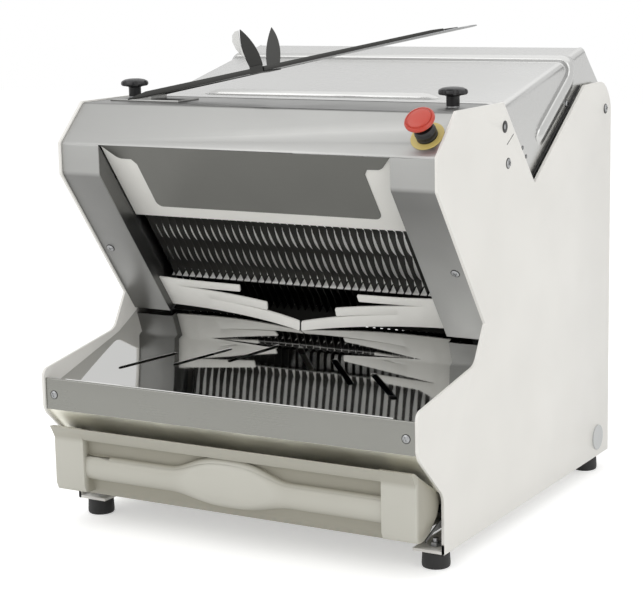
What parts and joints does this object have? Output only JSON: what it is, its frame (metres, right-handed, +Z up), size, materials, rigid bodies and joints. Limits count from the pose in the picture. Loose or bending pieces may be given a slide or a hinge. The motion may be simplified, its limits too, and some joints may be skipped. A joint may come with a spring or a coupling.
{
  "type": "bread slicer",
  "caption": "Electric bench-top bread slicer with two reciprocating blade frames behind a leaning throat, a lid with pusher, an outfeed table and a crumb drawer.",
  "frame": {"origin": "on the bench under the middle of the machine's bounding box depth, on the mid-plane between the side panels", "axes": "+Z up, the outfeed side faces -Y, +X to the machine's left as seen from behind, which is the right as seen from the front"},
  "size_m": [0.6048, 0.669, 0.7121],
  "materials": {
    "white_paint": "smooth white powder coat",
    "brushed_sheet": "brushed stainless sheet",
    "polished_sheet": "mirror polished stainless sheet",
    "blade_steel": "ground tool steel",
    "zinc_steel": "bright zinc plating",
    "dark_steel": "dark painted steel",
    "white_plastic": "moulded white plastic",
    "black_rubber": "matt black rubber",
    "black_plastic": "matt black plastic",
    "red_plastic": "glossy red plastic",
    "yellow_plastic": "glossy yellow plastic",
    "grey_plastic": "matt grey plastic",
    "cast_housing": "painted cast housing"
  },
  "bodies": {
    "machine": {"side_panel_right": "white_paint", "side_panel_left": "white_paint", "front_hood": "brushed_sheet", "deflector_plate": "polished_sheet", "guard_plate": "white_plastic", "finger_guide_right": "white_plastic", "finger_guide_left": "white_plastic", "outfeed_table": "polished_sheet", "front_fascia": "brushed_sheet", "crumb_chute": "brushed_sheet", "feet": "black_rubber", "foot_bolts": "zinc_steel", "foot_nuts": "zinc_steel", "side_plugs": "grey_plastic", "casing_screws": "zinc_steel", "rear_bumpers": "black_rubber", "power_inlet": "black_plastic", "floor_pan": "brushed_sheet", "rear_panel": "white_paint", "cross_rails": "zinc_steel", "guide_rods": "zinc_steel", "guide_brackets": "dark_steel", "bread_rest_comb": "white_plastic", "hopper_floor": "brushed_sheet", "hopper_sides": "brushed_sheet", "hinge_pins": "zinc_steel", "bearing_pedestals": "cast_housing", "motor": "cast_housing", "motor_cradle": "dark_steel", "drive_belt": "black_rubber", "drawer_runners": "dark_steel", "stop_disc": "yellow_plastic", "stop_collar": "black_plastic", "knob_studs": "zinc_steel", "knob_washers": "zinc_steel", "bagging_tray": "brushed_sheet"},
    "lid": {"lid_cover": "brushed_sheet", "lid_seals": "black_rubber", "lid_screws": "zinc_steel", "pusher_plate": "polished_sheet", "pusher_arms": "brushed_sheet"},
    "front_blade_set": {"front_blade_frame": "zinc_steel", "front_blades": "blade_steel", "front_guide_blocks": "white_plastic"},
    "rear_blade_set": {"rear_blade_frame": "zinc_steel", "rear_blades": "blade_steel", "rear_guide_blocks": "white_plastic"},
    "crank": {"crank_shaft": "zinc_steel", "eccentric_sheaves": "zinc_steel", "crank_pulley": "cast_housing"},
    "front_rods": {"front_connecting_rods": "dark_steel"},
    "rear_rods": {"rear_connecting_rods": "dark_steel"},
    "motor_rotor": {"motor_shaft": "zinc_steel", "motor_pulley": "cast_housing"},
    "drawer": {"crumb_drawer": "white_plastic"},
    "stop_stem": {"stop_plunger": "black_plastic"},
    "stop_head": {"stop_button": "red_plastic"},
    "knob_right": {"star_knob_right": "black_plastic"},
    "knob_left": {"star_knob_left": "black_plastic"},
    "holder": {"bag_holder": "dark_steel"}
  },
  "joints": [
    {"name": "lid_hinge", "type": "hinge", "parent": "machine", "child": "lid", "pos_m": [0, -0.0663, 0.5717], "axis": [1, 0, 0], "range_deg": [0, 55]},
    {"name": "front_blade_slide", "type": "slide", "parent": "machine", "child": "front_blade_set", "axis": [0, -0.5878, 0.809], "range_m": [-0.01, 0.01]},
    {"name": "rear_blade_slide", "type": "slide", "parent": "machine", "child": "rear_blade_set", "axis": [0, -0.5878, 0.809], "range_m": [-0.01, 0.01]},
    {"name": "crank_turn", "type": "hinge", "parent": "machine", "child": "crank", "pos_m": [0, 0.0955, 0.125], "axis": [1, 0, 0], "continuous": true},
    {"name": "front_rod_swing", "type": "hinge", "parent": "crank", "child": "front_rods", "pos_m": [0, 0.10257, 0.13207], "axis": [1, 0, 0], "continuous": true},
    {"name": "rear_rod_swing", "type": "hinge", "parent": "crank", "child": "rear_rods", "pos_m": [0, 0.08843, 0.11793], "axis": [1, 0, 0], "continuous": true},
    {"name": "motor_turn", "type": "hinge", "parent": "machine", "child": "motor_rotor", "pos_m": [0, 0.2255, 0.108], "axis": [1, 0, 0], "continuous": true},
    {"name": "drawer_slide", "type": "slide", "parent": "machine", "child": "drawer", "axis": [0, -1, 0], "range_m": [0, 0.3]},
    {"name": "stop_press", "type": "slide", "parent": "machine", "child": "stop_stem", "axis": [0, 0.6934, -0.7205], "range_m": [0, 0.0025]},
    {"name": "stop_twist", "type": "hinge", "parent": "stop_stem", "child": "stop_head", "pos_m": [0.2725, -0.245, 0.57461], "axis": [0, -0.6934, 0.7205], "range_deg": [-40, 0]},
    {"name": "knob_right_turn", "type": "hinge", "parent": "machine", "child": "knob_right", "pos_m": [0.258, -0.1395, 0.62], "axis": [0, 0, 1], "range_deg": [0, 720]},
    {"name": "knob_left_turn", "type": "hinge", "parent": "machine", "child": "knob_left", "pos_m": [-0.258, -0.1395, 0.62], "axis": [0, 0, 1], "range_deg": [0, 720]},
    {"name": "holder_slide", "type": "slide", "parent": "machine", "child": "holder", "axis": [0.9815, 0, 0.1915], "range_m": [-0.1, 0.2]}
  ],
  "couplings": [
    {"joint": "rear_blade_slide", "follows": "front_blade_slide", "ratio": -1},
    {"joint": "front_rod_swing", "follows": "crank_turn", "ratio": -1},
    {"joint": "rear_rod_swing", "follows": "crank_turn", "ratio": -1},
    {"joint": "motor_turn", "follows": "crank_turn", "ratio": 2.8571}
  ]
}
